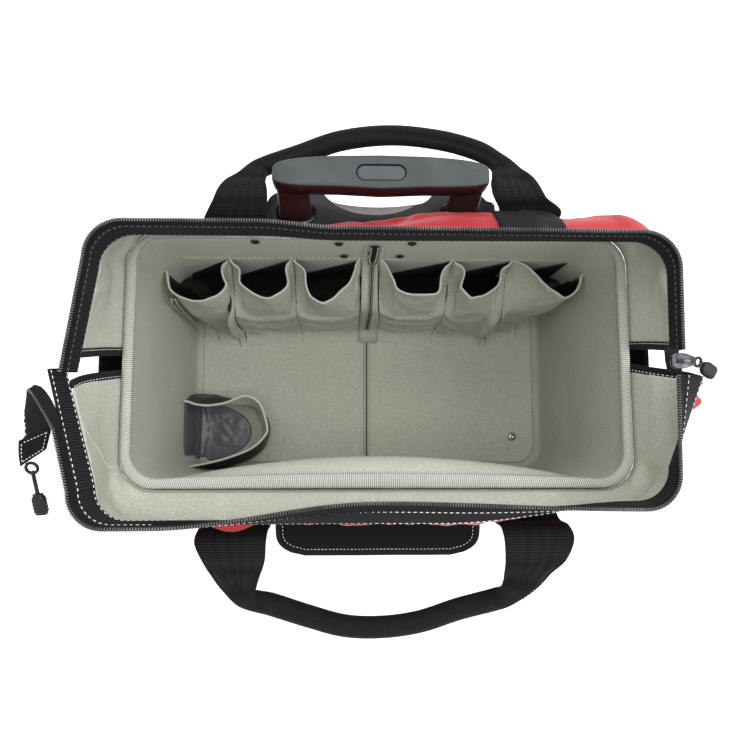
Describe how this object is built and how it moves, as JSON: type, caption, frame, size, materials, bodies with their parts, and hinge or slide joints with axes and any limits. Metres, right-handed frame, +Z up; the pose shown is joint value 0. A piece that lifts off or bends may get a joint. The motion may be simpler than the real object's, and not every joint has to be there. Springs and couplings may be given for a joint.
{
  "type": "rolling tool bag",
  "caption": "Wide-mouth rolling tool bag with padded walls, zipped mouth flaps, inner tool pockets, webbing handles, telescopic trolley handle and rear wheels.",
  "frame": {"origin": "middle of the bounding box at the floor the bag stands on", "axes": "+Z up, +X along the bag to the right as seen from the front, +Y toward the trolley and wheels"},
  "size_m": [0.5554, 0.4594, 0.411],
  "materials": {
    "red_cloth": "woven polyester",
    "grey_lining": "woven polyester",
    "pale_binding": "ribbed tape",
    "black_cloth": "woven polyester",
    "black_webbing": "ribbed webbing",
    "zip_tape": "ribbed tape",
    "zip_coil": "nylon coil",
    "dark_plastic": "moulded",
    "grey_plastic": "moulded",
    "steel": "satin",
    "rubber": "matt",
    "white_thread": "sewing thread"
  },
  "bodies": {
    "bag": {"base_plate": "dark_plastic", "corner_pocket": "grey_lining", "floor_rivet": "steel", "foot_left": "rubber", "foot_right": "rubber", "front_pocket": "black_cloth", "front_pocket_flap": "black_cloth", "handle_back": "black_webbing", "handle_front": "black_webbing", "inner_lining": "grey_lining", "lining_screw_1": "dark_plastic", "lining_screw_2": "dark_plastic", "lining_screw_3": "dark_plastic", "lining_screw_4": "dark_plastic", "lining_screw_5": "dark_plastic", "mouth_flap_back": "red_cloth", "mouth_flap_front": "red_cloth", "notch_binding_left_back": "black_cloth", "notch_binding_left_front": "black_cloth", "notch_binding_right_back": "black_cloth", "notch_binding_right_front": "black_cloth", "outer_shell": "red_cloth", "outer_tube_left": "steel", "outer_tube_right": "steel", "side_pocket_left": "black_cloth", "side_pocket_right": "black_cloth", "tool_pocket_1": "grey_lining", "tool_pocket_2": "grey_lining", "tool_pocket_3": "grey_lining", "tool_pocket_4": "grey_lining", "tool_pocket_5": "grey_lining", "tool_pocket_6": "grey_lining", "trolley_bezel": "dark_plastic", "trolley_sleeve": "black_cloth", "wall_binding": "pale_binding", "wheel_axle_left": "steel", "wheel_axle_right": "steel", "wheel_housing_left": "dark_plastic", "wheel_housing_right": "dark_plastic", "zip_pull_left": "dark_plastic", "zip_pull_right": "dark_plastic", "zip_rim_back": "zip_tape", "zip_rim_front": "zip_tape", "zip_slider_right": "steel", "zipper_end_tab": "black_cloth", "zipper_tail": "zip_coil"},
    "trolley_middle": {"middle_tube_left": "steel", "middle_tube_right": "steel"},
    "trolley_top": {"inner_tube_left": "steel", "inner_tube_right": "steel", "trolley_grip": "dark_plastic"},
    "trolley_button": {"trolley_button": "grey_plastic"},
    "wheel_left": {"wheel_tyre_left": "rubber", "wheel_hub_left": "grey_plastic"},
    "wheel_right": {"wheel_tyre_right": "rubber", "wheel_hub_right": "grey_plastic"}
  },
  "joints": [
    {"name": "trolley_lower_slide", "type": "slide", "parent": "bag", "child": "trolley_middle", "axis": [0, 0, 1], "range_m": [0, 0.2]},
    {"name": "trolley_upper_slide", "type": "slide", "parent": "trolley_middle", "child": "trolley_top", "axis": [0, 0, 1], "range_m": [0, 0.2]},
    {"name": "trolley_button_press", "type": "slide", "parent": "trolley_top", "child": "trolley_button", "axis": [0, 0, -1], "range_m": [0, 0.003], "stiffness_N_per_m": 600},
    {"name": "wheel_left_spin", "type": "hinge", "parent": "bag", "child": "wheel_left", "pos_m": [-0.17031, 0.16429, 0.03], "axis": [1, 0, 0], "continuous": true},
    {"name": "wheel_right_spin", "type": "hinge", "parent": "bag", "child": "wheel_right", "pos_m": [0.20169, 0.16429, 0.03], "axis": [1, 0, 0], "continuous": true}
  ]
}
